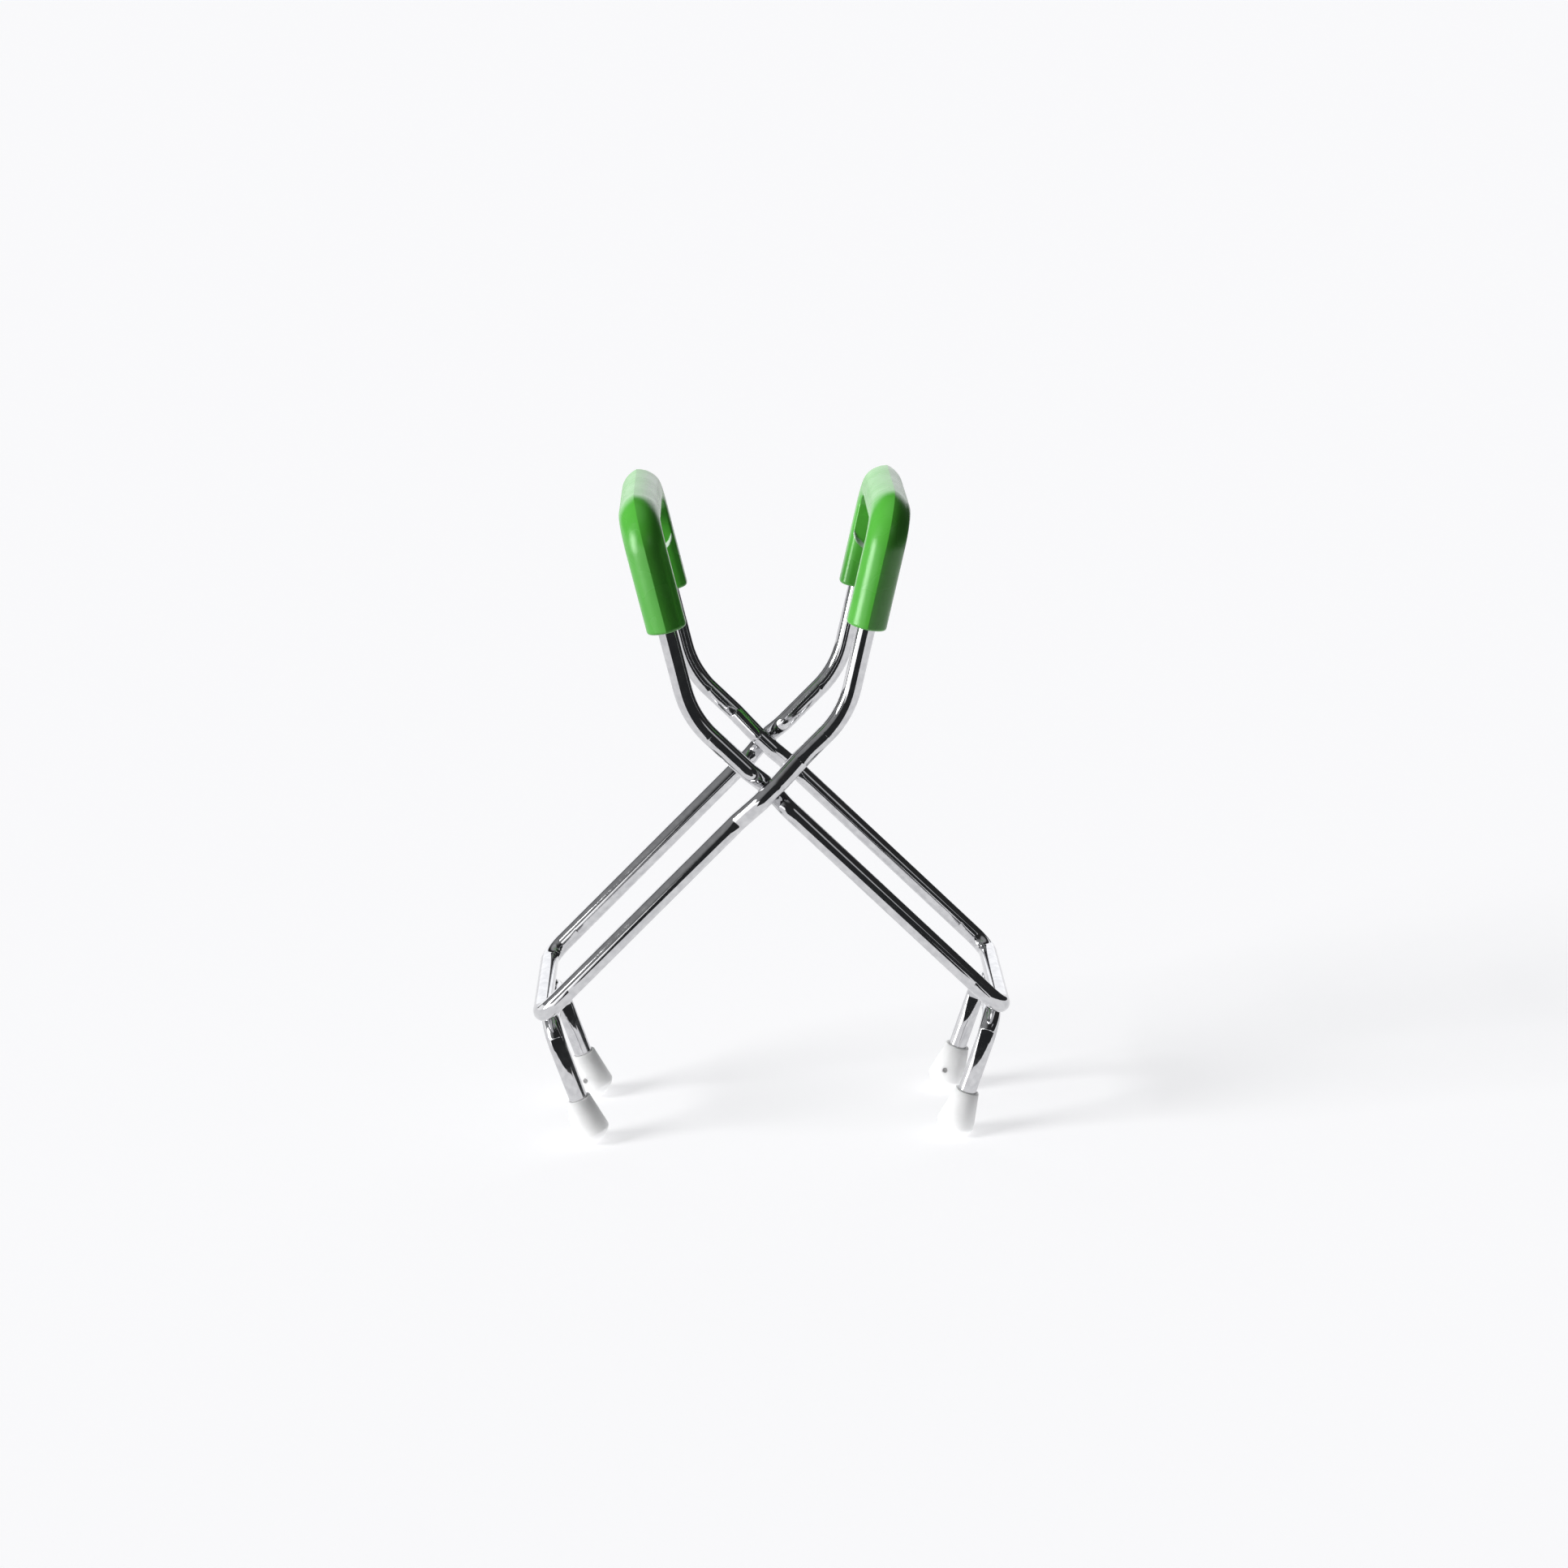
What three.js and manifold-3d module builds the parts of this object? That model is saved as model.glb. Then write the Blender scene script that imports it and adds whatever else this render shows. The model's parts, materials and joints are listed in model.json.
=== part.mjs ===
// Jar lifter: scissor tongs for lifting hot preserving jars out of their bath.
//
// Two closed loops of chromed wire cross at a pair of press-bent kinks, which are the
// pivot. Each loop carries a moulded grip over its top bar and a welded U-shaped leg
// bracket under its bottom bar, and each bracket's two legs end in rubber tips.
// The tongs stand open on their four tips.
//
// Millimetres, +Z up. Origin on the standing surface, midway between the four tips.
// +Y runs from the front crossing to the rear one, along the pivot axis. The outer
// frame has its handle at +X and its jaw at -X. The inner frame is the other way round.

import * as THREE from 'three';
import { mergeVertices } from 'three/addons/utils/BufferGeometryUtils.js';
import Module from 'manifold-3d';

const wasm = await Module();
wasm.setup();

// ---------------------------------------------------------------- driving dimensions

const WIRE_RADIUS = 2.75;
const CLEARANCE = 0.3; // kept between pieces that touch on the real object

// side profile, in the XZ plane
const PIVOT_HEIGHT = 109.2;
const ARM_ANGLE = 45; // degrees from the vertical
const UPPER_ARM = 31.4; // pivot to the handle bend
const LOWER_ARM = 94.8; // pivot to the bottom bar
const HANDLE_ANGLE = 13.1; // degrees from the vertical, leaning outwards
const HANDLE_LENGTH = 58.4; // handle bend to the top bar
const LEG_ANGLE = 18.5; // degrees from the vertical, leaning inwards

// loops, seen from the front and from above
const LOOP_HALF_WIDTH = 28.5; // middle plane to the wire's centre line
const TOP_CORNER_RADIUS = 9;
const HANDLE_BEND_RADIUS = 28;
const BOTTOM_CORNER_RADIUS = 6;
const JOINT_GAP = 1; // between the wire's two ends, hidden in the grip

// kinks at the two crossings, measured along the arm from the pivot
const KINK_OFFSET = WIRE_RADIUS + CLEARANCE / 2;
const KINK_RADIUS = 6;
const LONG_BOW = { flat: 3.4, reach: 12.6 };
const SHORT_DENT = { flat: 2.4, reach: 7.7 };

// leg brackets
const LEG_HALF_SPACING = 19.7;
const LEG_CORNER_RADIUS = 8;

// rubber tips, measured along the leg from the mouth down
const TIP_MOUTH_RADIUS = 3.6;
const TIP_WIDE_RADIUS = 5.65;
const TIP_CONE_LENGTH = 10.8;
const TIP_DOME_HEIGHT = 3.6;
const TIP_BORE_DEPTH = 9;
const TIP_FLAT_DEPTH = 0.3; // how far the dome is flattened where it stands

// grips, measured from the wire's centre line
const GRIP_HALF_THICKNESS = 5.7;
const GRIP_INNER_HALF = 5.4;
const GRIP_INNER_SQUARENESS = 3.5; // 2 would be an oval, more is nearer a rectangle
const GRIP_OUTER_HALF = 4.6;
const GRIP_RIDGE = 1.2; // how far the outer ridge stands above the oval
const GRIP_COVER = 4.1; // wire's centre line to the flat inner face
const GRIP_LEG_LENGTH = 32.5; // top bar's centre line to the lower end
const GRIP_LEDGE = 13.5; // top bar's centre line to where the flat starts to run out
const GRIP_LEDGE_DROP = 7; // how much lower the flat runs out in mid-face
const GRIP_LEDGE_RAMP = 1.3;

// facets
const WIRE_SIDES = 10;
const GRIP_SIDES = 16;
const TIP_SEGMENTS = 18;
const TIP_DOME_STEPS = 4;
const ARCH_CORNER_SEGMENTS = 4;
const SLOT_END_SEGMENTS = 8;
const BEND_STEP = 20; // degrees of bend for each step along a wire
const OVERCUT = 5; // how far a cutting solid runs past what it cuts

// ---------------------------------------------------------------- derived places

const radians = THREE.MathUtils.degToRad;

const armDirection = new THREE.Vector2(Math.sin(radians(ARM_ANGLE)), Math.cos(radians(ARM_ANGLE)));
const pivot = new THREE.Vector2(0, PIVOT_HEIGHT);
const handleBend = pivot.clone().addScaledVector(armDirection, UPPER_ARM);
const bottomBar = pivot.clone().addScaledVector(armDirection, -LOWER_ARM);
const topBar = handleBend.clone().add(
  new THREE.Vector2(Math.sin(radians(HANDLE_ANGLE)), Math.cos(radians(HANDLE_ANGLE)))
    .multiplyScalar(HANDLE_LENGTH),
);

const tipDomeRadius = (TIP_WIDE_RADIUS ** 2 + TIP_DOME_HEIGHT ** 2) / (2 * TIP_DOME_HEIGHT);
const tipLength = TIP_CONE_LENGTH + TIP_DOME_HEIGHT;
const domeCentreDrop = (bottomBar.y - tipDomeRadius + TIP_FLAT_DEPTH) / Math.cos(radians(LEG_ANGLE));
const tipMouthDrop = domeCentreDrop - (tipLength - tipDomeRadius);
const legEndDrop = tipMouthDrop + TIP_BORE_DEPTH - CLEARANCE;
const bracketBarDrop = 2 * WIRE_RADIUS + CLEARANCE;

// ---------------------------------------------------------------- materials

const chrome = new THREE.MeshStandardMaterial({ color: 0xd9dadd, metalness: 1, roughness: 0.08 });
const greenPlastic = new THREE.MeshStandardMaterial({ color: 0x2fa12c, metalness: 0, roughness: 0.28 });
const whiteRubber = new THREE.MeshStandardMaterial({ color: 0xeeeeec, metalness: 0, roughness: 0.55 });

// ---------------------------------------------------------------- bent wire

// A run of straight stretches joined by arcs. Its steps fall only on the arcs, so a
// straight stretch is one step however long it is.
class BentWire extends THREE.Curve {
  constructor(waypoints) {
    super();
    this.stations = [];
    const last = waypoints.length - 1;
    const heading = (i) => waypoints[i + 1].point.clone().sub(waypoints[i].point).normalize();
    this.stations.push({ point: waypoints[0].point, tangent: heading(0) });
    for (let i = 1; i < last; i++) {
      this.addArc(waypoints[i].point, waypoints[i].radius, heading(i - 1), heading(i));
    }
    this.stations.push({ point: waypoints[last].point, tangent: heading(last - 1) });
  }

  addArc(corner, radius, arriving, leaving) {
    const angle = arriving.angleTo(leaving);
    const start = corner.clone().addScaledVector(arriving, -radius * Math.tan(angle / 2));
    const axis = arriving.clone().cross(leaving).normalize();
    const toCentre = axis.clone().cross(arriving);
    const centre = start.clone().addScaledVector(toCentre, radius);
    const steps = Math.ceil(angle / radians(BEND_STEP));
    for (let step = 0; step <= steps; step++) {
      const turned = (angle * step) / steps;
      const spoke = toCentre.clone().applyAxisAngle(axis, turned).multiplyScalar(-radius);
      this.stations.push({
        point: centre.clone().add(spoke),
        tangent: arriving.clone().applyAxisAngle(axis, turned),
      });
    }
  }

  get steps() {
    return this.stations.length - 1;
  }

  getPointAt(u, target = new THREE.Vector3()) {
    return target.copy(this.stations[Math.round(u * this.steps)].point);
  }

  getTangentAt(u, target = new THREE.Vector3()) {
    return target.copy(this.stations[Math.round(u * this.steps)].tangent);
  }
}

function sweep(section, waypoints) {
  const path = new BentWire(waypoints);
  return new THREE.ExtrudeGeometry(section, { extrudePath: path, steps: path.steps });
}

function roundSection(radius, sides) {
  const points = [];
  for (let i = 0; i < sides; i++) {
    const angle = (2 * Math.PI * i) / sides;
    points.push(new THREE.Vector2(radius * Math.cos(angle), radius * Math.sin(angle)));
  }
  return new THREE.Shape(points);
}

// ---------------------------------------------------------------- joining and cutting

function toSolid(geometry) {
  const bare = geometry.clone();
  bare.deleteAttribute('normal');
  bare.deleteAttribute('uv');
  const merged = mergeVertices(bare);
  return new wasm.Manifold(new wasm.Mesh({
    numProp: 3,
    vertProperties: new Float32Array(merged.attributes.position.array),
    triVerts: new Uint32Array(merged.index.array),
  }));
}

function toGeometry(solid) {
  const mesh = solid.getMesh();
  const geometry = new THREE.BufferGeometry();
  geometry.setAttribute('position', new THREE.BufferAttribute(mesh.vertProperties, 3));
  geometry.setIndex(new THREE.BufferAttribute(mesh.triVerts, 1));
  geometry.computeVertexNormals();
  return geometry;
}

function namedMesh(name, geometry, material) {
  const mesh = new THREE.Mesh(geometry, material);
  mesh.name = name;
  return mesh;
}

// ---------------------------------------------------------------- wire loop

// One side of a loop from its top corner to its bottom corner. The kink shifts the
// wire along Y where it crosses the other loop.
function loopSide(mirror, y, kink, kinkDirection) {
  const place = (flat, depth) => new THREE.Vector3(mirror * flat.x, depth, flat.y);
  const shifted = y + kinkDirection * KINK_OFFSET;
  const kinkPoint = (along, depth) => ({
    point: place(pivot.clone().addScaledVector(armDirection, along), depth),
    radius: KINK_RADIUS,
  });
  return [
    { point: place(topBar, y), radius: TOP_CORNER_RADIUS },
    { point: place(handleBend, y), radius: HANDLE_BEND_RADIUS },
    kinkPoint(kink.reach, y),
    kinkPoint(kink.flat, shifted),
    kinkPoint(-kink.flat, shifted),
    kinkPoint(-kink.reach, y),
    { point: place(bottomBar, y), radius: BOTTOM_CORNER_RADIUS },
  ];
}

function wireLoop(name, mirror, frontKink, rearKink) {
  const topEnd = (y) => ({ point: new THREE.Vector3(mirror * topBar.x, y, topBar.y) });
  const front = loopSide(mirror, -LOOP_HALF_WIDTH, frontKink.shape, frontKink.direction);
  const rear = loopSide(mirror, LOOP_HALF_WIDTH, rearKink.shape, rearKink.direction);
  const waypoints = [topEnd(JOINT_GAP / 2), ...rear, ...front.reverse(), topEnd(-JOINT_GAP / 2)];
  return namedMesh(name, sweep(roundSection(WIRE_RADIUS, WIRE_SIDES), waypoints), chrome);
}

// ---------------------------------------------------------------- grip

// The handle frame has its origin at the top bar's middle and +Z along the handle.
function handleU(halfWidth, cornerRadius, legEnd) {
  const at = (y, z) => new THREE.Vector3(0, y, z);
  return [
    { point: at(-halfWidth, legEnd) },
    { point: at(-halfWidth, 0), radius: cornerRadius },
    { point: at(halfWidth, 0), radius: cornerRadius },
    { point: at(halfWidth, legEnd) },
  ];
}

// An oval with a shallow ridge along its outer side and a fuller inner side. The section's x
// points out of the U.
function gripSection() {
  const points = [];
  for (let i = 0; i < GRIP_SIDES; i++) {
    const angle = (2 * Math.PI * i) / GRIP_SIDES;
    const outward = Math.cos(angle);
    const across = Math.sin(angle);
    const outerReach = GRIP_OUTER_HALF * outward + GRIP_RIDGE * (1 - Math.abs(across));
    const fullness = Math.max(1 - Math.abs(across) ** GRIP_INNER_SQUARENESS, 0);
    const innerReach = -GRIP_INNER_HALF * fullness ** (1 / GRIP_INNER_SQUARENESS);
    const reach = outward > 0 ? outerReach : innerReach;
    points.push(new THREE.Vector2(reach, GRIP_HALF_THICKNESS * across));
  }
  return new THREE.Shape(points);
}

// The space inside the U: an arch along X with rounded top corners.
function fingerArch() {
  const halfWidth = LOOP_HALF_WIDTH - GRIP_COVER;
  const radius = TOP_CORNER_RADIUS - GRIP_COVER;
  const bottom = -GRIP_LEG_LENGTH;
  const arch = new THREE.Shape();
  arch.moveTo(-halfWidth, bottom);
  arch.lineTo(halfWidth, bottom);
  arch.lineTo(halfWidth, -GRIP_COVER - radius);
  arch.absarc(halfWidth - radius, -GRIP_COVER - radius, radius, 0, Math.PI / 2, false);
  arch.absarc(radius - halfWidth, -GRIP_COVER - radius, radius, Math.PI / 2, Math.PI, false);
  const depth = 2 * (GRIP_HALF_THICKNESS + OVERCUT);
  const geometry = new THREE.ExtrudeGeometry(arch, {
    depth,
    bevelEnabled: false,
    curveSegments: ARCH_CORNER_SEGMENTS,
  });
  geometry.translate(0, 0, -depth / 2);
  geometry.rotateY(Math.PI / 2);
  geometry.rotateX(Math.PI / 2);
  return geometry;
}

// The cutter for the flat inner faces: a slot along Y with an elliptical lower end,
// narrowing towards each face so that the flat ends in a ramp.
function runOutSlot() {
  const halfWidth = GRIP_HALF_THICKNESS + GRIP_LEDGE_RAMP;
  const slot = new THREE.Shape();
  slot.moveTo(halfWidth, OVERCUT);
  slot.lineTo(-halfWidth, OVERCUT);
  slot.lineTo(-halfWidth, -GRIP_LEDGE);
  slot.absellipse(0, -GRIP_LEDGE, halfWidth, GRIP_LEDGE_DROP, Math.PI, 2 * Math.PI, false, 0);
  const depth = 2 * (LOOP_HALF_WIDTH - GRIP_COVER - GRIP_LEDGE_RAMP);
  const geometry = new THREE.ExtrudeGeometry(slot, {
    depth,
    bevelThickness: GRIP_LEDGE_RAMP,
    bevelSize: GRIP_LEDGE_RAMP,
    bevelOffset: -GRIP_LEDGE_RAMP,
    bevelSegments: 1,
    curveSegments: SLOT_END_SEGMENTS,
  });
  geometry.translate(0, 0, -depth / 2);
  geometry.rotateX(Math.PI / 2);
  return geometry;
}

function gripGeometry() {
  const sleeve = sweep(gripSection(), handleU(LOOP_HALF_WIDTH, TOP_CORNER_RADIUS, -GRIP_LEG_LENGTH));
  const bore = sweep(
    roundSection(WIRE_RADIUS + CLEARANCE, WIRE_SIDES),
    handleU(LOOP_HALF_WIDTH, TOP_CORNER_RADIUS, -GRIP_LEG_LENGTH - OVERCUT),
  );
  const fingerRoom = toSolid(fingerArch()).intersect(toSolid(runOutSlot()));
  return toGeometry(toSolid(sleeve).subtract(fingerRoom).subtract(toSolid(bore)));
}

// ---------------------------------------------------------------- leg bracket and tips

// The jaw frame has its origin at the loop's bottom bar and -Z down the legs.
function legBracketGeometry() {
  const at = (y, z) => new THREE.Vector3(0, y, z);
  return sweep(roundSection(WIRE_RADIUS, WIRE_SIDES), [
    { point: at(-LEG_HALF_SPACING, -legEndDrop) },
    { point: at(-LEG_HALF_SPACING, -bracketBarDrop), radius: LEG_CORNER_RADIUS },
    { point: at(LEG_HALF_SPACING, -bracketBarDrop), radius: LEG_CORNER_RADIUS },
    { point: at(LEG_HALF_SPACING, -legEndDrop) },
  ]);
}

// A cone that widens downwards, with a domed bottom and a blind bore for the leg.
function tipProfile() {
  const boreRadius = WIRE_RADIUS + CLEARANCE;
  const profile = [
    new THREE.Vector2(0, -TIP_BORE_DEPTH),
    new THREE.Vector2(boreRadius, -TIP_BORE_DEPTH),
    new THREE.Vector2(boreRadius, 0),
    new THREE.Vector2(TIP_MOUTH_RADIUS, 0),
  ];
  const edgeAngle = Math.asin(TIP_WIDE_RADIUS / tipDomeRadius);
  for (let step = 0; step < TIP_DOME_STEPS; step++) {
    const angle = edgeAngle * (1 - step / TIP_DOME_STEPS);
    const height = -tipLength + tipDomeRadius * (1 - Math.cos(angle));
    profile.push(new THREE.Vector2(tipDomeRadius * Math.sin(angle), height));
  }
  profile.push(new THREE.Vector2(0, -tipLength));
  return profile.reverse();
}

// The tip in the jaw frame, flattened where it stands on the surface at z = 0.
function tipGeometry(y, jawFrame) {
  const tip = new THREE.LatheGeometry(tipProfile(), TIP_SEGMENTS);
  tip.rotateX(Math.PI / 2);
  tip.translate(0, y, -tipMouthDrop);
  const domeCentre = new THREE.Vector3(0, y, -domeCentreDrop).applyMatrix4(jawFrame);
  const size = 4 * TIP_WIDE_RADIUS;
  const underside = new THREE.BoxGeometry(size, size, size);
  underside.translate(domeCentre.x, y, -size / 2);
  underside.applyMatrix4(jawFrame.clone().invert());
  return toGeometry(toSolid(tip).subtract(toSolid(underside)));
}

// ---------------------------------------------------------------- frames

// A frame is a loop with its grip, leg bracket and tips. mirror is +1 where the handle
// is at +X and -1 where it is at -X.
function makeFrame(label, mirror, frontKink, rearKink) {
  const frame = new THREE.Group();
  frame.add(wireLoop(`${label}_loop`, mirror, frontKink, rearKink));

  const handle = new THREE.Group();
  handle.position.set(mirror * topBar.x, 0, topBar.y);
  handle.rotation.y = mirror * radians(HANDLE_ANGLE);
  handle.add(namedMesh(`${label}_grip`, gripGeometry(), greenPlastic));
  frame.add(handle);

  const jaw = new THREE.Group();
  jaw.position.set(mirror * bottomBar.x, 0, bottomBar.y);
  jaw.rotation.y = -mirror * radians(LEG_ANGLE);
  jaw.updateMatrix();
  jaw.add(namedMesh(`${label}_leg_bracket`, legBracketGeometry(), chrome));
  jaw.add(namedMesh(`${label}_front_tip`, tipGeometry(-LEG_HALF_SPACING, jaw.matrix), whiteRubber));
  jaw.add(namedMesh(`${label}_rear_tip`, tipGeometry(LEG_HALF_SPACING, jaw.matrix), whiteRubber));
  frame.add(jaw);
  return frame;
}

// The outer frame passes outside the inner one at both crossings.
const jarLifter = new THREE.Group();
jarLifter.add(makeFrame(
  'outer',
  1,
  { shape: LONG_BOW, direction: -1 },
  { shape: SHORT_DENT, direction: 1 },
));
jarLifter.add(makeFrame(
  'inner',
  -1,
  { shape: SHORT_DENT, direction: 1 },
  { shape: LONG_BOW, direction: -1 },
));

export default jarLifter;
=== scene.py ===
"""Looks of a jar lifter: scissor tongs for lifting hot preserving jars out of their bath.

Metres, +Z up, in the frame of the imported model. Two closed loops of chromed wire cross at
press-bent kinks. Each loop carries a moulded grip, a welded leg bracket and two rubber
tips, and they ride together on that loop's body.
"""

import json
import math

import bmesh
import bpy
import numpy as np
from mathutils import Matrix, Vector


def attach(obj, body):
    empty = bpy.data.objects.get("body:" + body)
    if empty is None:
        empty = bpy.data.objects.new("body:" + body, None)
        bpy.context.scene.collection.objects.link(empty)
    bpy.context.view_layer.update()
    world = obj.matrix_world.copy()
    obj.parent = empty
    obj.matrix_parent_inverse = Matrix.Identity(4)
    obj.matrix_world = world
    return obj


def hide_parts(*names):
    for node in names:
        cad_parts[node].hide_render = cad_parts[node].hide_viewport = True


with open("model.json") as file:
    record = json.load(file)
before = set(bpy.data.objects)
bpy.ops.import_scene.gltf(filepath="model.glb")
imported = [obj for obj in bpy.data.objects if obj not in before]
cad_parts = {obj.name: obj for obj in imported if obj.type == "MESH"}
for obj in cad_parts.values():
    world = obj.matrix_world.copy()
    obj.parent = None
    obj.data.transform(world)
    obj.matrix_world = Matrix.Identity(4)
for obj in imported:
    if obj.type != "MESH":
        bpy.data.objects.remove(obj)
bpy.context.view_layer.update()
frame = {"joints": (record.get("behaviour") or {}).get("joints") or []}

MM = 0.001

# ---------------------------------------------------------------- the CAD's dimensions

WIRE_RADIUS = 2.74 * MM

ARM_ANGLE = math.radians(45)
UPPER_ARM = 31.4 * MM
LOWER_ARM = 94.8 * MM
HANDLE_ANGLE = math.radians(13.1)
HANDLE_LENGTH = 58.4 * MM
LEG_ANGLE = math.radians(18.5)

LOOP_HALF_WIDTH = 28.5 * MM
TOP_CORNER_RADIUS = 9 * MM
HANDLE_BEND_RADIUS = 28 * MM
BOTTOM_CORNER_RADIUS = 6 * MM
JOINT_GAP = 1 * MM

KINK_OFFSET = 2.9 * MM
KINK_RADIUS = 6 * MM
LONG_BOW = {"flat": 3.4 * MM, "reach": 12.6 * MM, "mark": 0.3 * MM}
SHORT_DENT = {"flat": 2.4 * MM, "reach": 7.7 * MM, "mark": 0.12 * MM}

LEG_HALF_SPACING = 19.7 * MM
LEG_CORNER_RADIUS = 8 * MM
BRACKET_BAR_DROP = 5.8 * MM
LEG_END_DROP = 38.75 * MM

TIP_MOUTH_DROP = 30.05 * MM
TIP_MOUTH_RADIUS = 3.6 * MM
TIP_WIDE_RADIUS = 5.65 * MM
TIP_CONE_LENGTH = 10.8 * MM
TIP_DOME_HEIGHT = 3.6 * MM
TIP_BORE_DEPTH = 9 * MM

GRIP_HALF_THICKNESS = 5.7 * MM
GRIP_INNER_HALF = 5.4 * MM
GRIP_INNER_SQUARENESS = 3.5
GRIP_OUTER_HALF = 4.55 * MM
GRIP_RIDGE = 1.2 * MM
GRIP_COVER = 4.1 * MM
GRIP_LEG_LENGTH = 32.5 * MM
GRIP_LEDGE = 13.5 * MM
GRIP_LEDGE_DROP = 7 * MM
GRIP_LEDGE_RAMP = 1.3 * MM

# ---------------------------------------------------------------- finer shape

WIRE_SIDES = 48
STRAIGHT_STEP = 6 * MM
BEND_STEP = math.radians(4)

GRIP_SIDES = 80
GRIP_FINE_STEP = 0.25 * MM
GRIP_END_ROUND = 0.8 * MM
GRIP_EDGE_SOFTNESS = 0.25 * MM
GRIP_BORE_RADIUS = WIRE_RADIUS + 0.08 * MM

TIP_SIDES = 56
TIP_BORE_RADIUS = WIRE_RADIUS + 0.2 * MM

NOTCH_EDGE = 0.25 * MM  # length of the sharp side of a press mark
WELD_SPACING = 9 * MM

UP = Vector((0, 0, 1))
ACROSS = Vector((1, 0, 0))
FRONT = Vector((0, -1, 0))
REAR = Vector((0, 1, 0))

PIVOT = Vector(frame["joints"][0]["pos_m"])

PAINTED_HIGHLIGHT = "painted_highlight"  # per-vertex share of the painted highlight in the plastic, on the ramp where the flat runs out
WIRE_PLACE = "wire_place"  # per-vertex place: two across the wire, then the distance along it


# ---------------------------------------------------------------- bent lines


def straight_run(start, heading):
    return lambda distance: (start + heading * distance, heading)


def arc_run(start, arriving, leaving, radius):
    axis = arriving.cross(leaving).normalized()
    to_centre = axis.cross(arriving)
    centre = start + to_centre * radius

    def at(distance):
        turn = Matrix.Rotation(distance / radius, 3, axis)
        return centre - turn @ to_centre * radius, turn @ arriving

    return at


class BentLine:
    """Straight stretches joined by arcs, read by the distance along it."""

    def __init__(self, corners):
        """corners are (point, bend radius) pairs. The two ends need no radius."""
        points = [Vector(point) for point, _ in corners]
        headings = [(b - a).normalized() for a, b in zip(points, points[1:])]
        self.runs = []
        self.length = 0
        here = points[0]
        for i in range(1, len(points) - 1):
            radius = corners[i][1]
            arriving, leaving = headings[i - 1], headings[i]
            angle = arriving.angle(leaving)
            setback = radius * math.tan(angle / 2)
            start = points[i] - arriving * setback
            self._add(straight_run(here, arriving), (start - here).length, STRAIGHT_STEP)
            self._add(arc_run(start, arriving, leaving, radius), radius * angle, radius * BEND_STEP)
            here = points[i] + leaving * setback
        self._add(straight_run(here, headings[-1]), (points[-1] - here).length, STRAIGHT_STEP)

    def _add(self, at, length, step):
        self.runs.append((self.length, self.length + length, at, step))
        self.length += length

    def at(self, distance):
        """The point at a distance along the line, and the heading there."""
        for start, end, at, _ in self.runs:
            if distance <= end:
                return at(max(distance, start) - start)
        start, end, at, _ = self.runs[-1]
        return at(end - start)

    def stations(self, extra=()):
        """Distances for the mesh's rings: close on the bends, far apart on the straights."""
        found = {0.0}
        for start, end, _, step in self.runs:
            count = max(1, math.ceil((end - start) / step))
            found.update(start + (end - start) * i / count for i in range(1, count + 1))
        found.update(d for d in extra if 0 < d < self.length)
        smallest = 0.02 * MM
        kept = []
        for distance in sorted(found):
            if not kept or distance - kept[-1] > smallest:
                kept.append(distance)
        return kept

    def nearest(self, point):
        """The distance along the line of its nearest place to a point."""
        samples = np.linspace(0, self.length, 4000)
        gaps = [(self.at(d)[0] - point).length for d in samples]
        return float(samples[int(np.argmin(gaps))])


# ---------------------------------------------------------------- meshes


def ring_faces(rings, sides, first=0):
    """Quads between consecutive rings of vertices."""
    faces = []
    for r in range(rings - 1):
        low = first + r * sides
        high = low + sides
        for i in range(sides):
            j = (i + 1) % sides
            faces.append((low + i, low + j, high + j, high + i))
    return faces


def make_piece(name, vertices, faces, material, smooth_below=40):
    """A mesh object with outward faces, smooth except over edges sharper than that angle."""
    mesh = bpy.data.meshes.new(name + "_mesh")
    mesh.from_pydata([tuple(v) for v in vertices], [], faces)
    shape = bmesh.new()
    shape.from_mesh(mesh)
    bmesh.ops.recalc_face_normals(shape, faces=shape.faces)
    shape.to_mesh(mesh)
    shape.free()
    mesh.shade_smooth()
    mesh.set_sharp_from_angle(angle=math.radians(smooth_below))
    mesh.materials.append(material)
    piece = bpy.data.objects.new(name, mesh)
    bpy.context.scene.collection.objects.link(piece)
    return piece


def press_mark(line, place, facing, away, length, depth):
    """A facet pressed into the wire. It is deepest at place and fades out in the away direction."""
    distance = line.nearest(place)
    heading = line.at(distance)[1]
    side = 1 if heading.dot(away) > 0 else -1
    return {"distance": distance, "facing": facing, "side": side, "length": length, "depth": depth}


def mark_depth(mark, distance):
    along = (distance - mark["distance"]) * mark["side"]
    if 0 <= along <= mark["length"]:
        return mark["depth"] * (1 - along / mark["length"])
    if -NOTCH_EDGE < along < 0:
        return mark["depth"] * (1 + along / NOTCH_EDGE)
    return 0


def mark_stations(mark, steps=8):
    fade = [mark["distance"] + mark["side"] * mark["length"] * i / steps for i in range(steps + 1)]
    edge = [mark["distance"] - mark["side"] * NOTCH_EDGE * share for share in (0.5, 1)]
    return fade + edge


def pressed(ring, centre, distance, marks):
    """The ring of wire vertices with every press mark that reaches it."""
    for mark in marks:
        depth = mark_depth(mark, distance)
        if depth > 0:
            facing = np.array(mark["facing"])
            height = (ring - centre) @ facing
            ring = ring - np.outer(np.maximum(height - (WIRE_RADIUS - depth), 0), facing)
    return ring


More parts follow.
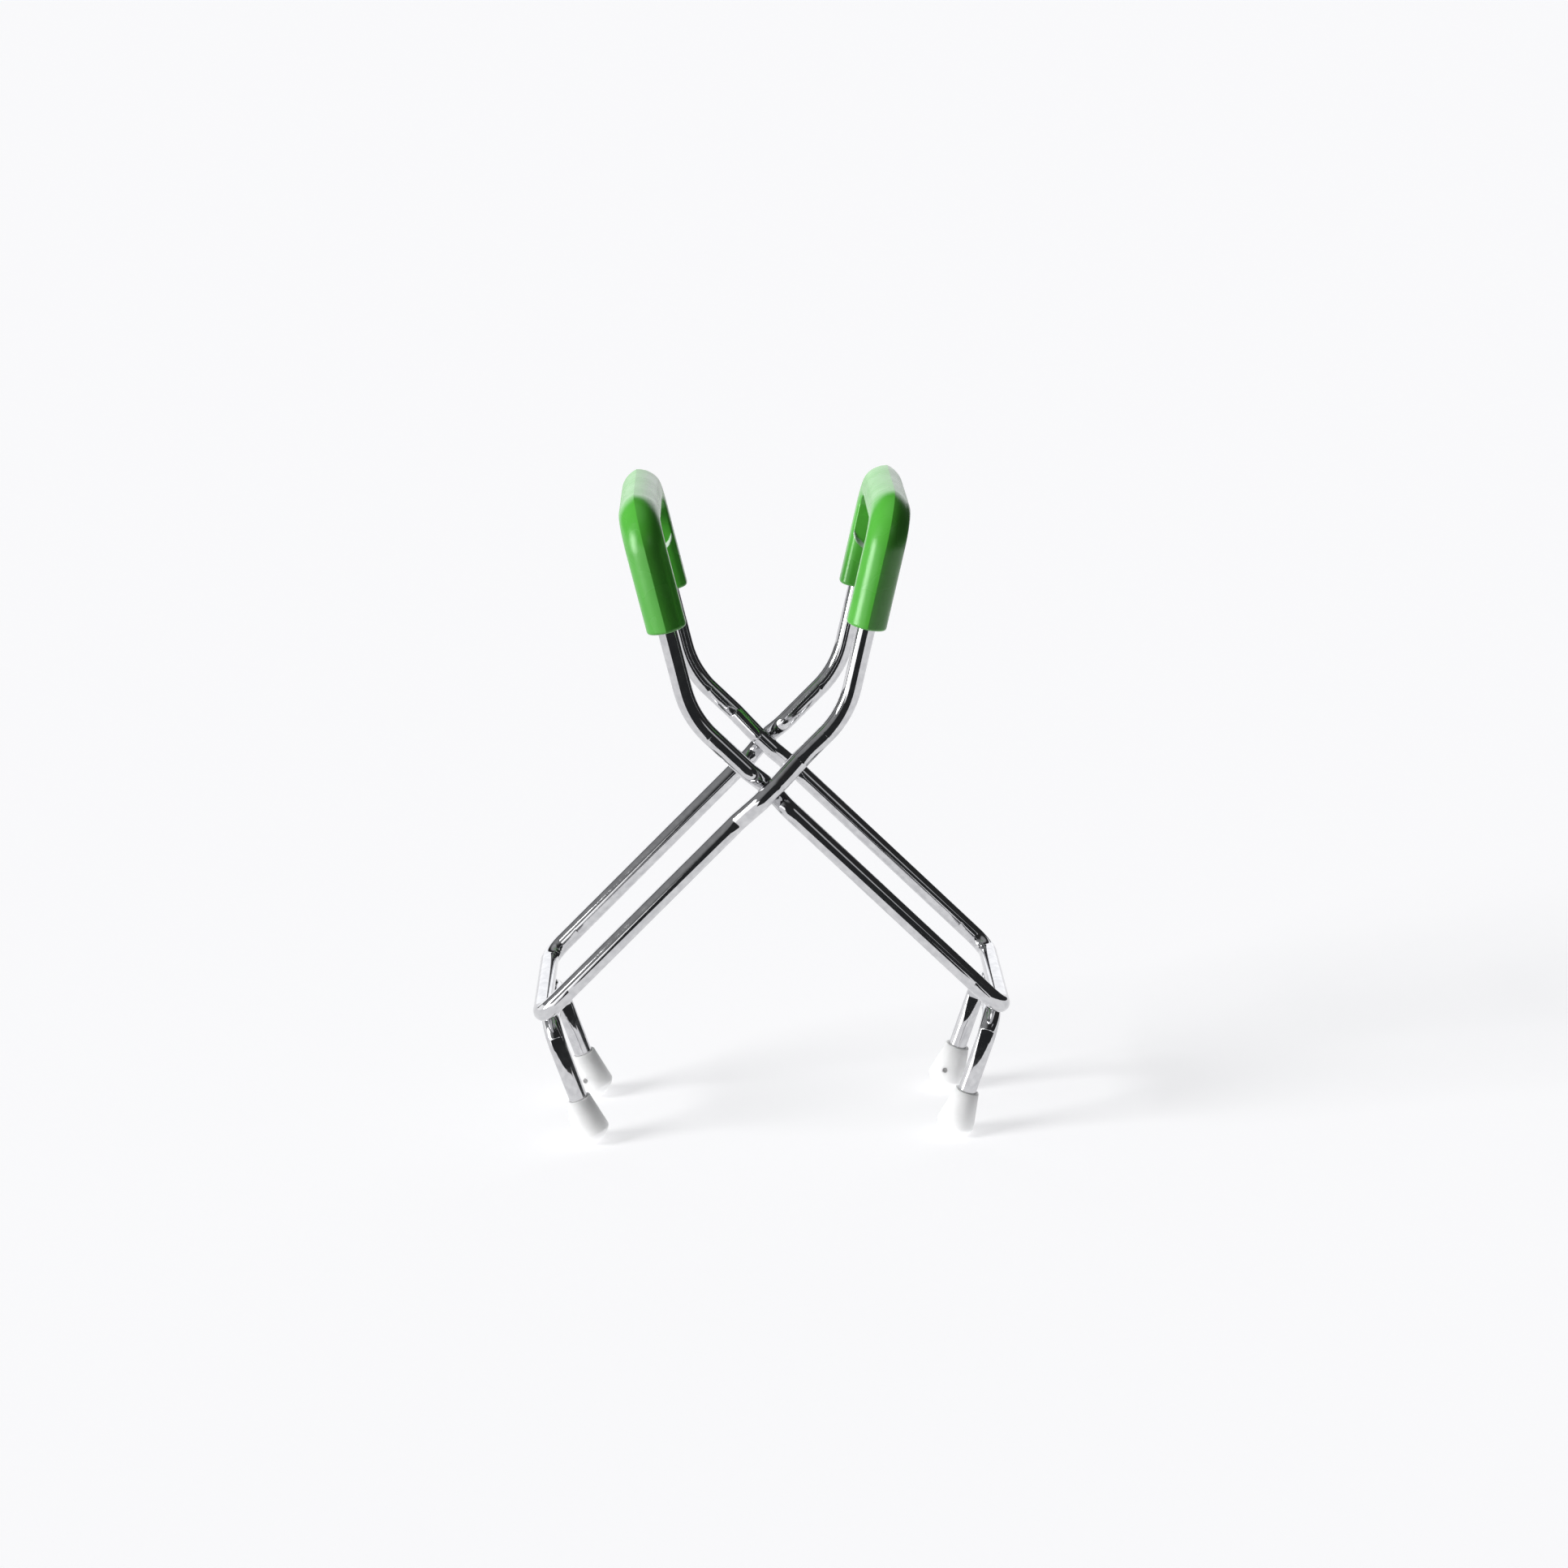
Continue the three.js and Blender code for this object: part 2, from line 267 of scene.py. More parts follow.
def wire_piece(name, line, marks, material):
    """A round wire along a line, closed at both ends, that knows its place along the wire."""
    stations = line.stations([d for mark in marks for d in mark_stations(mark)])
    angles = np.linspace(0, 2 * math.pi, WIRE_SIDES, endpoint=False)
    normal = line.at(0)[1].orthogonal().normalized()
    vertices = []
    places = []
    for distance in stations:
        centre, heading = line.at(distance)
        normal = (normal - heading * normal.dot(heading)).normalized()
        side = heading.cross(normal)
        spokes = np.outer(np.cos(angles), normal) + np.outer(np.sin(angles), side)
        ring = np.array(centre) + WIRE_RADIUS * spokes
        vertices.extend(pressed(ring, np.array(centre), distance, marks))
        around = WIRE_RADIUS * np.column_stack([np.cos(angles), np.sin(angles)])
        places.extend((a, b, distance) for a, b in around)
    last = (len(stations) - 1) * WIRE_SIDES
    caps = [tuple(range(WIRE_SIDES)), tuple(range(last, last + WIRE_SIDES))]
    piece = make_piece(name, vertices, ring_faces(len(stations), WIRE_SIDES) + caps, material, 55)
    attribute = piece.data.attributes.new(WIRE_PLACE, "FLOAT_VECTOR", "POINT")
    attribute.data.foreach_set("vector", np.array(places, np.float32).ravel())
    return piece


def lathe(profile, sides):
    """Vertices and faces of a closed profile of (radius, height), its two ends on the axis."""
    vertices = [(0, 0, profile[0][1])]
    for radius, height in profile[1:-1]:
        for i in range(sides):
            angle = 2 * math.pi * i / sides
            vertices.append((radius * math.cos(angle), radius * math.sin(angle), height))
    vertices.append((0, 0, profile[-1][1]))
    rings = len(profile) - 2
    faces = ring_faces(rings, sides, first=1)
    last = len(vertices) - 1
    for i in range(sides):
        j = (i + 1) % sides
        faces.append((0, 1 + j, 1 + i))
        faces.append((last, last - sides + i, last - sides + j))
    return vertices, faces


# ---------------------------------------------------------------- material nodes


def add_node(tree, kind, inputs=None, **settings):
    """A node with its settings made, and its inputs set or linked."""
    node = tree.nodes.new(kind)
    for key, value in settings.items():
        setattr(node, key, value)
    for key, value in (inputs or {}).items():
        if isinstance(value, bpy.types.NodeSocket):
            tree.links.new(value, node.inputs[key])
        else:
            node.inputs[key].default_value = value
    return node


def new_material(name, **constants):
    """A material, its node tree and its shader, with constants set on the shader's sockets."""
    material = bpy.data.materials.new(name)
    material.use_nodes = True
    tree = material.node_tree
    shader = tree.nodes["Principled BSDF"]
    for key, value in constants.items():
        shader.inputs[key.replace("_", " ")].default_value = value
    return material, tree, shader


def noise(tree, place, scale, detail=2.0):
    return add_node(
        tree, "ShaderNodeTexNoise", {"Vector": place, "Scale": scale, "Detail": detail}
    ).outputs["Fac"]


def mapped(tree, value, low, high, start=0.3, end=0.7):
    """value's start to end range stretched to low to high."""
    inputs = {"Value": value, "From Min": start, "From Max": end, "To Min": low, "To Max": high}
    return add_node(tree, "ShaderNodeMapRange", inputs, interpolation_type="SMOOTHSTEP").outputs["Result"]


def blended(tree, share, first, second):
    """A colour between two, by share."""
    node = add_node(tree, "ShaderNodeMix", {"Factor": share}, data_type="RGBA")
    node.inputs[6].default_value = (*first, 1)
    node.inputs[7].default_value = (*second, 1)
    return node.outputs[2]


def bump(tree, height, distance, under=None):
    inputs = {"Height": height, "Distance": distance, "Strength": 1.0}
    if under:
        inputs["Normal"] = under
    return add_node(tree, "ShaderNodeBump", inputs).outputs["Normal"]


def object_place(tree):
    return add_node(tree, "ShaderNodeTexCoord").outputs["Object"]


def chrome_material():
    """Bright nickel-chrome: faint draw lines along the wire, slight waviness and haze."""
    material, tree, shader = new_material("chrome", Metallic=1.0)
    place = add_node(tree, "ShaderNodeAttribute", attribute_name=WIRE_PLACE).outputs["Vector"]
    drawn = add_node(tree, "ShaderNodeVectorMath", operation="MULTIPLY")
    tree.links.new(place, drawn.inputs[0])
    drawn.inputs[1].default_value = (1, 1, 0.012)
    lines = noise(tree, drawn.outputs["Vector"], 2600, 2.0)
    waves = noise(tree, place, 90, 1.0)
    haze = noise(tree, place, 420, 3.0)
    colour = blended(tree, mapped(tree, haze, 0, 1), (0.56, 0.56, 0.575), (0.66, 0.66, 0.67))
    tree.links.new(colour, shader.inputs["Base Color"])
    tree.links.new(mapped(tree, haze, 0.04, 0.09), shader.inputs["Roughness"])
    wavy = bump(tree, waves, 0.012 * MM)
    tree.links.new(bump(tree, lines, 0.0007 * MM, wavy), shader.inputs["Normal"])
    return material


def weld_material():
    """Chromed weld metal, rougher and darker than the drawn wire."""
    material, tree, shader = new_material("weld_metal", Metallic=1.0)
    place = object_place(tree)
    grain = noise(tree, place, 900, 4.0)
    colour = blended(tree, mapped(tree, grain, 0, 1), (0.36, 0.35, 0.34), (0.56, 0.56, 0.56))
    tree.links.new(colour, shader.inputs["Base Color"])
    tree.links.new(mapped(tree, grain, 0.18, 0.4), shader.inputs["Roughness"])
    tree.links.new(bump(tree, grain, 0.08 * MM), shader.inputs["Normal"])
    return material


def plastic_material():
    """Glossy moulded green with a fine orange peel, and a pale painted highlight where the flat runs out.
    """
    material, tree, shader = new_material(
        "green_plastic", Metallic=0.0, IOR=1.5, Coat_Weight=0.18, Coat_Roughness=0.28
    )
    place = object_place(tree)
    cloud = noise(tree, place, 70, 2.0)
    peel = noise(tree, place, 1500, 2.0)
    flow = noise(tree, place, 120, 1.0)
    green = blended(tree, mapped(tree, cloud, 0, 1), (0.085, 0.48, 0.042), (0.100, 0.52, 0.050))
    # Painted highlight: a pale green mixed in on the ramp where the flat runs out, standing in for the
    # light that the ramp reflects.
    painted_highlight = add_node(tree, "ShaderNodeAttribute", attribute_name=PAINTED_HIGHLIGHT).outputs["Fac"]
    pale = add_node(tree, "ShaderNodeMix", {"Factor": painted_highlight, 6: green}, data_type="RGBA")
    pale.inputs[7].default_value = (0.62, 0.74, 0.63, 1)
    tree.links.new(pale.outputs[2], shader.inputs["Base Color"])
    tree.links.new(mapped(tree, flow, 0.24, 0.29), shader.inputs["Roughness"])
    sunk = bump(tree, flow, 0.002 * MM)
    tree.links.new(bump(tree, peel, 0.002 * MM, sunk), shader.inputs["Normal"])
    return material


def rubber_material():
    """White moulded rubber, satin, with a faintly mottled skin."""
    material, tree, shader = new_material(
        "white_rubber", Metallic=0.0, IOR=1.5, Subsurface_Weight=0.8, Subsurface_Scale=0.006
    )
    shader.inputs["Subsurface Radius"].default_value = (1.0, 1.0, 1.0)
    place = object_place(tree)
    mottle = noise(tree, place, 260, 3.0)
    grain = noise(tree, place, 2200, 2.0)
    colour = blended(tree, mapped(tree, mottle, 0, 1), (0.86, 0.86, 0.855), (0.90, 0.90, 0.895))
    tree.links.new(colour, shader.inputs["Base Color"])
    tree.links.new(mapped(tree, mottle, 0.46, 0.58), shader.inputs["Roughness"])
    skin = bump(tree, mottle, 0.04 * MM)
    tree.links.new(bump(tree, grain, 0.012 * MM, skin), shader.inputs["Normal"])
    return material


def floor_material(name, whiteness, glow_strength):
    """Plain matt white, lit a little from below as a light table is."""
    material = bpy.data.materials.new(name)
    material.use_nodes = True
    tree = material.node_tree
    tree.nodes.clear()
    matt = add_node(tree, "ShaderNodeBsdfDiffuse", {"Color": (whiteness, whiteness, whiteness, 1)})
    glow = add_node(tree, "ShaderNodeEmission", {"Color": (0.98, 0.98, 1.0, 1), "Strength": glow_strength})
    both = add_node(tree, "ShaderNodeAddShader", {0: matt.outputs["BSDF"], 1: glow.outputs["Emission"]})
    add_node(tree, "ShaderNodeOutputMaterial", {"Surface": both.outputs["Shader"]})
    return material


def glow_material(name, colour, strength):
    material = bpy.data.materials.new(name)
    material.use_nodes = True
    tree = material.node_tree
    tree.nodes.clear()
    glow = add_node(tree, "ShaderNodeEmission", {"Color": (*colour, 1), "Strength": strength})
    add_node(tree, "ShaderNodeOutputMaterial", {"Surface": glow.outputs["Emission"]})
    return material


# ---------------------------------------------------------------- wire loop


def flat_point(mirror, x, z, y):
    """A point of the side profile, on the frame's own side, at depth y."""
    return Vector((mirror * x, y, z))


def side_profile():
    """Places in the side profile as (x, z), for a frame whose handle is at +X."""
    arm = Vector((math.sin(ARM_ANGLE), math.cos(ARM_ANGLE)))
    handle = Vector((math.sin(HANDLE_ANGLE), math.cos(HANDLE_ANGLE)))
    pivot = Vector((PIVOT.x, PIVOT.z))
    handle_bend = pivot + arm * UPPER_ARM
    return {
        "arm": arm,
        "pivot": pivot,
        "handle_bend": handle_bend,
        "bottom_bar": pivot - arm * LOWER_ARM,
        "top_bar": handle_bend + handle * HANDLE_LENGTH,
    }


PROFILE = side_profile()


def loop_side(mirror, y, kink, direction):
    """Corners of one side of a loop, from the top corner to the bottom corner."""
    shifted = y + direction * KINK_OFFSET

    def kink_corner(along, depth):
        x, z = PROFILE["pivot"] + PROFILE["arm"] * along
        return flat_point(mirror, x, z, depth), KINK_RADIUS

    return [
        (flat_point(mirror, *PROFILE["top_bar"], y), TOP_CORNER_RADIUS),
        (flat_point(mirror, *PROFILE["handle_bend"], y), HANDLE_BEND_RADIUS),
        kink_corner(kink["reach"], y),
        kink_corner(kink["flat"], shifted),
        kink_corner(-kink["flat"], shifted),
        kink_corner(-kink["reach"], y),
        (flat_point(mirror, *PROFILE["bottom_bar"], y), BOTTOM_CORNER_RADIUS),
    ]


def loop_marks(line, mirror, y, kink):
    """Tool marks where the press bent the kinks, the handle and the bottom corner."""
    arm = Vector((mirror * PROFILE["arm"].x, 0, PROFILE["arm"].y))
    centre = PIVOT + Vector((0, y, 0))
    bend_setback = HANDLE_BEND_RADIUS * math.tan((ARM_ANGLE - HANDLE_ANGLE) / 2)
    marks = []
    for facing in (FRONT, REAR):
        for way in (1, -1):
            place = centre + arm * way * kink["reach"]
            marks.append(press_mark(line, place, facing, arm * way, 3.6 * MM, kink["mark"]))
        bend_end = centre + arm * (UPPER_ARM - bend_setback)
        marks.append(press_mark(line, bend_end, facing, arm, 2.0 * MM, 0.16 * MM))
        corner_side = centre - arm * (LOWER_ARM - 12 * MM)
        marks.append(press_mark(line, corner_side, facing, -arm, 2.6 * MM, 0.09 * MM))
    return marks


def wire_loop(label, mirror, front_kink, rear_kink, chrome):
    top_x, top_z = PROFILE["top_bar"]
    sides = [
        loop_side(mirror, LOOP_HALF_WIDTH, *rear_kink),
        loop_side(mirror, -LOOP_HALF_WIDTH, *front_kink)[::-1],
    ]
    ends = [(flat_point(mirror, top_x, top_z, y), 0) for y in (JOINT_GAP / 2, -JOINT_GAP / 2)]
    line = BentLine([ends[0], *sides[0], *sides[1], ends[1]])
    marks = loop_marks(line, mirror, LOOP_HALF_WIDTH, rear_kink[0])
    marks += loop_marks(line, mirror, -LOOP_HALF_WIDTH, front_kink[0])
    return wire_piece(label + "_wire_loop", line, marks, chrome)


# ---------------------------------------------------------------- grip


def u_line(half_width, corner_radius, bar_height, leg_end):
    """A U in the YZ plane, open downwards."""
    return BentLine([
        ((0, -half_width, leg_end), 0),
        ((0, -half_width, bar_height), corner_radius),
        ((0, half_width, bar_height), corner_radius),
        ((0, half_width, leg_end), 0),
    ])


def smooth_least(a, b, softness):
    """The smaller of two lengths, rounded over where they meet."""
    near = max(softness - abs(a - b), 0) / softness
    return min(a, b) - near * near * softness / 4


def inner_reach(angle, height):
    """How far the grip's inner side lies from the wire, at an angle round the section.

    It is the flat inner face, which runs out in a ramp into the fuller leg below a rounded end.
    Also whether this place is on the ramp.
    """
    share = min(abs(math.sin(angle)), 1)
    full = GRIP_INNER_HALF * (1 - share**GRIP_INNER_SQUARENESS) ** (1 / GRIP_INNER_SQUARENESS)
    flat_end = -GRIP_LEDGE - GRIP_LEDGE_DROP * math.sqrt(1 - share * share)
    climb = flat_end + GRIP_LEDGE_RAMP - height
    reach = smooth_least(full, GRIP_COVER + max(climb, 0), GRIP_EDGE_SOFTNESS)
    return reach, 0 < climb < GRIP_LEDGE_RAMP and full > GRIP_COVER


def grip_ring(centre, outward, inset):
    """One ring of the grip's skin: an oval with an outer ridge and an inner flat.

    With it comes each vertex's share of painted highlight: 1 on the ramp at the flat's end, otherwise 0.
    """
    ring = []
    painted_highlight = []
    for i in range(GRIP_SIDES):
        angle = 2 * math.pi * i / GRIP_SIDES
        across = math.sin(angle)
        on_ramp = False
        if math.cos(angle) > 0:
            reach = GRIP_OUTER_HALF * math.cos(angle) + GRIP_RIDGE * (1 - abs(across))
        else:
            inner, on_ramp = inner_reach(angle, centre.z)
            reach = -inner
        reach *= 1 - inset / GRIP_INNER_HALF
        width = GRIP_HALF_THICKNESS - inset
        ring.append(centre + outward * reach + ACROSS * across * width)
        painted_highlight.append(float(on_ramp))
    return ring, painted_highlight


def bore_ring(centre, outward, radius):
    spokes = [2 * math.pi * i / GRIP_SIDES for i in range(GRIP_SIDES)]
    return [centre + (outward * math.cos(a) + ACROSS * math.sin(a)) * radius for a in spokes]


def end_inset(gap):
    """How far the skin is drawn in at this distance from an end, to round its edge."""
    if gap >= GRIP_END_ROUND:
        return 0
    return GRIP_END_ROUND - math.sqrt(GRIP_END_ROUND**2 - (GRIP_END_ROUND - gap) ** 2)


def grip_stations(line):
    """Close rings at the rounded ends and where the flat runs out."""
    end_gaps = [GRIP_END_ROUND * share for share in (0.06, 0.16, 0.32, 0.55, 1)]
    run_out = np.arange(9 * MM, 22 * MM, GRIP_FINE_STEP)
    return line.stations([d for gap in [*end_gaps, *run_out] for d in (gap, line.length - gap)])


def grip(label, mirror, plastic):
    line = u_line(LOOP_HALF_WIDTH, TOP_CORNER_RADIUS, 0, -GRIP_LEG_LENGTH)
    vertices = []
    painted_highlight = []
    skin_stations = grip_stations(line)
    for distance in skin_stations:
        centre, heading = line.at(distance)
        inset = end_inset(min(distance, line.length - distance))
        ring, ring_painted_highlight = grip_ring(centre, ACROSS.cross(heading), inset)
        vertices.extend(ring)
        painted_highlight.extend(ring_painted_highlight)
    mouth = 0.35 * MM
    bore_stations = line.stations([mouth, line.length - mouth])
    for distance in bore_stations:
        centre, heading = line.at(distance)
        flare = max(mouth - min(distance, line.length - distance), 0)
        vertices.extend(bore_ring(centre, ACROSS.cross(heading), GRIP_BORE_RADIUS + flare))
    bore_first = len(skin_stations) * GRIP_SIDES
    bore_last = len(vertices) - GRIP_SIDES
    faces = ring_faces(len(skin_stations), GRIP_SIDES)
    faces += ring_faces(len(bore_stations), GRIP_SIDES, first=bore_first)
    for skin, bore in ((0, bore_first), (bore_first - GRIP_SIDES, bore_last)):
        for i in range(GRIP_SIDES):
            j = (i + 1) % GRIP_SIDES
            faces.append((skin + i, skin + j, bore + j, bore + i))
    painted_highlight += [0.0] * (len(vertices) - len(painted_highlight))
    handle = handle_frame(mirror)
    placed = [handle @ v for v in vertices]
    piece = make_piece(label + "_moulded_grip", placed, faces, plastic, 12)
    # The painted highlight's share goes on the mesh, for the plastic's pale ramp colour.
    piece.data.attributes.new(PAINTED_HIGHLIGHT, "FLOAT", "POINT").data.foreach_set("value", painted_highlight)
    return piece


def handle_frame(mirror):
    """Origin at the top bar's middle, +Z along the handle."""
    x, z = PROFILE["top_bar"]
    place = Matrix.Translation(flat_point(mirror, x, z, 0))
    return place @ Matrix.Rotation(mirror * HANDLE_ANGLE, 4, "Y")


# ---------------------------------------------------------------- leg bracket, welds and tips


def jaw_frame(mirror):
    """Origin at the loop's bottom bar, -Z down the legs."""
    x, z = PROFILE["bottom_bar"]
    place = Matrix.Translation(flat_point(mirror, x, z, 0))
    return place @ Matrix.Rotation(-mirror * LEG_ANGLE, 4, "Y")


def leg_bracket(label, mirror, chrome):
    """The welded U. A long facet runs down each side of each leg from the bend."""
    line = u_line(LEG_HALF_SPACING, LEG_CORNER_RADIUS, -BRACKET_BAR_DROP, -LEG_END_DROP)
    facet_top = -BRACKET_BAR_DROP - LEG_CORNER_RADIUS + 3 * MM
    marks = []
    for y in (-LEG_HALF_SPACING, LEG_HALF_SPACING):
        for side in (FRONT, REAR):
            facing = (side + ACROSS * 0.22 * mirror).normalized()
            marks.append(press_mark(line, Vector((0, y, facet_top)), facing, -UP, 11 * MM, 0.85 * MM))
    piece = wire_piece(label + "_wire_legs", line, marks, chrome)
    piece.data.transform(jaw_frame(mirror))
    return piece


def weld_bead(place, lean):
    """A lumpy bead in the groove between two bars that touch."""
    bead = bmesh.new()
    bmesh.ops.create_icosphere(bead, subdivisions=3, radius=1)
    for vertex in bead.verts:
        x, y, z = vertex.co
        lump = 1 + 0.09 * math.sin(3 * x + 4 * y) * math.cos(5 * z + 2 * y)
        vertex.co = Vector((1.9 * x, 2.6 * y, 1.15 * z)) * (lump * MM)
    bead.transform(Matrix.Translation(place + lean))
    vertices = [v.co.copy() for v in bead.verts]
    faces = [tuple(v.index for v in f.verts) for f in bead.faces]
    bead.free()
    return vertices, faces


def gathered(parts):
    """Several (vertices, faces) as one."""
    vertices = []
    faces = []
    for part_vertices, part_faces in parts:
        first = len(vertices)
        vertices.extend(part_vertices)
        faces.extend(tuple(first + i for i in face) for face in part_faces)
    return vertices, faces


def welds(label, mirror, metal):
    """Two welds that hold the leg bracket's bar under the loop's bottom bar."""
    beads = [
        weld_bead(Vector((0, y, -BRACKET_BAR_DROP / 2)), Vector((0.5 * MM, 0, 0)))
        for y in (-WELD_SPACING, WELD_SPACING)
    ]
    vertices, faces = gathered(beads)
    jaw = jaw_frame(mirror)
    return make_piece(label + "_welds", [jaw @ v for v in vertices], faces, metal)


def tip_profile():
    """Blind bore, rounded mouth, a cone that widens downwards, a soft edge and a domed end."""
    end = -TIP_CONE_LENGTH - TIP_DOME_HEIGHT
    dome_radius = (TIP_WIDE_RADIUS**2 + TIP_DOME_HEIGHT**2) / (2 * TIP_DOME_HEIGHT)
    dome_corner = dome_radius * math.tan(math.asin(TIP_WIDE_RADIUS / dome_radius) / 2)
    line = BentLine([
        ((0, 0, -TIP_BORE_DEPTH), 0),
        ((TIP_BORE_RADIUS, 0, -TIP_BORE_DEPTH), 0.2 * MM),
        ((TIP_BORE_RADIUS, 0, 0), 0.15 * MM),
        ((TIP_MOUTH_RADIUS, 0, 0), 0.22 * MM),
        ((TIP_WIDE_RADIUS, 0, -TIP_CONE_LENGTH), 0.8 * MM),
        ((dome_corner, 0, end), 0.93 * dome_radius),
        ((0, 0, end), 0),
    ])
    places = [line.at(distance)[0] for distance in line.stations()]
    return [(place.x, place.z) for place in places]


def gate_mark(angle):
    """The round witness of the mould's gate on the cone."""
    radius_and_height = [(0, 0.03), (0.42, 0.03), (0.54, 0.08), (0.68, 0.08), (0.8, -0.12), (0, -0.12)]
    vertices, faces = lathe([(r * MM, h * MM) for r, h in radius_and_height], 20)
    drop = 7.6 * MM
    slope = math.atan2(TIP_WIDE_RADIUS - TIP_MOUTH_RADIUS, TIP_CONE_LENGTH)
    radius = TIP_MOUTH_RADIUS + drop * math.tan(slope)
    turn = Matrix.Rotation(angle, 4, "Z") @ Matrix.Translation((radius, 0, -drop))
    turn = turn @ Matrix.Rotation(math.pi / 2 - slope, 4, "Y")
    return [turn @ Vector(v) for v in vertices], faces


def rubber_tip(label, mirror, end, y, rubber):
    gate_angle = math.radians(-113 if y > 0 else 67)
    vertices, faces = gathered([lathe(tip_profile(), TIP_SIDES), gate_mark(gate_angle)])
    place = jaw_frame(mirror) @ Matrix.Translation((0, y, -TIP_MOUTH_DROP))
    placed = [place @ Vector(v) for v in vertices]
    for vertex in placed:
        vertex.z = max(vertex.z, 0)
    return make_piece(f"{label}_{end}_rubber_tip", placed, faces, rubber, 50)


# ---------------------------------------------------------------- frames


def stand_for(piece, body, slot, *nodes):
    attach(piece, body)
    if nodes:
        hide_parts(*nodes)


def make_frame(label, mirror, front_kink, rear_kink, materials):
    """A loop with its grip, leg bracket, welds and tips, all on the frame's body."""
    chrome, plastic, rubber, weld_metal = materials
    body = label + "_frame"
    loop = wire_loop(label, mirror, front_kink, rear_kink, chrome)
    stand_for(loop, body, "chrome_wire", label + "_loop")
    stand_for(grip(label, mirror, plastic), body, "grip_plastic", label + "_grip")
    stand_for(leg_bracket(label, mirror, chrome), body, "chrome_wire", label + "_leg_bracket")
    stand_for(welds(label, mirror, weld_metal), body, "chrome_wire")
    for end, y in (("front", -LEG_HALF_SPACING), ("rear", LEG_HALF_SPACING)):
        tip = rubber_tip(label, mirror, end, y, rubber)
        stand_for(tip, body, "tip_rubber", f"{label}_{end}_tip")


# ---------------------------------------------------------------- studio


def stage_sheet(name, corners, material, **shown_to):
    """A flat sheet of the studio. shown_to names the kinds of ray that meet it, where not all do."""
    sheet = make_piece(name, corners, [(0, 1, 2, 3)], material)
    for kind in ("camera", "diffuse", "glossy", "shadow"):
        setattr(sheet, "visible_" + kind, shown_to.get(kind, not shown_to))


def floor_sheets():
    """A pale floor without end. Only its middle throws light back on the tongs."""
    def level(left, right, near, far, height):
        return [(left, near, height), (right, near, height), (right, far, height), (left, far, height)]

    reach = 20
    surface = level(-reach, reach, -reach, reach, -0.1 * MM)
    stage_sheet("floor", surface, floor_material("pale_floor", 0.44, 0.65), camera=True, glossy=True)
    middle = level(-0.14, 0.18, -0.11, 0.08, -0.2 * MM)
    stage_sheet("floor_middle", middle, floor_material("bounce_floor", 0.54, 0.9), diffuse=True)


def standing_card(name, bearings, distance, top, material):
    """A bent card on the floor through bearings from the front, that shows only in reflections."""
    corners = []
    for bearing in bearings:
        x = distance * math.sin(math.radians(bearing))
        y = -distance * math.cos(math.radians(bearing))
        corners.extend([(x, y, 0), (x, y, top)])
    faces = [(2 * i, 2 * i + 2, 2 * i + 3, 2 * i + 1) for i in range(len(bearings) - 1)]
    card = make_piece(name, corners, faces, material)
    card.visible_camera = False
    card.visible_diffuse = False
    card.visible_shadow = False


def studio_cards():
    """What the chrome and the gloss show of the room: dark in front, a window to the left."""
    dark = glow_material("dark_room", (0.9, 0.95, 1.0), 0.03)
    window = glow_material("window_light", (1.0, 1.0, 1.0), 9.5)
    low = glow_material("low_window_light", (1.0, 1.0, 1.0), 1.7)
    side = glow_material("side_light", (1.0, 1.0, 1.0), 1.2)
    standing_card("dark_front", (-27, 0, 30), 0.22, 0.18, dark)
    standing_card("dark_right", (29, 70, 110, 150), 0.6, 0.26, dark)
    standing_card("tall_window", (-80, -60), 0.6, 0.32, window)
    standing_card("low_window", (-60, -26), 0.6, 0.15, low)
    standing_card("side_card", (-125, -80), 0.6, 0.15, side)


def key_light():
    """Soft light from the left and a little in front."""
    azimuth = math.radians(22)
    height = math.radians(28)
    to_light = Vector((
        -math.cos(height) * math.cos(azimuth),
        -math.cos(height) * math.sin(azimuth),
        math.sin(height),
    ))
    lamp = bpy.data.lights.new("key", "SUN")
    lamp.energy = 3.1
    lamp.angle = math.radians(24)
    key = bpy.data.objects.new("key", lamp)
    key.visible_glossy = False
    key.rotation_mode = "QUATERNION"
    key.rotation_quaternion = to_light.to_track_quat("Z", "Y")
    bpy.context.scene.collection.objects.link(key)


def summed(tree, *values):
    total = values[0]
    for value in values[1:]:
        total = add_node(tree, "ShaderNodeMath", {0: total, 1: value}, operation="ADD").outputs[0]
    return total


def product(tree, first, second):
    return add_node(tree, "ShaderNodeMath", {0: first, 1: second}, operation="MULTIPLY").outputs[0]


def toward(tree, direction, target, start, end):
    """1 for directions near the target one and 0 away from it, by the cosine between them."""
    node = add_node(tree, "ShaderNodeVectorMath", operation="DOT_PRODUCT")
    tree.links.new(direction, node.inputs[0])
    node.inputs[1].default_value = Vector(target).normalized()
    return mapped(tree, node.outputs["Value"], 0, 1, start, end)


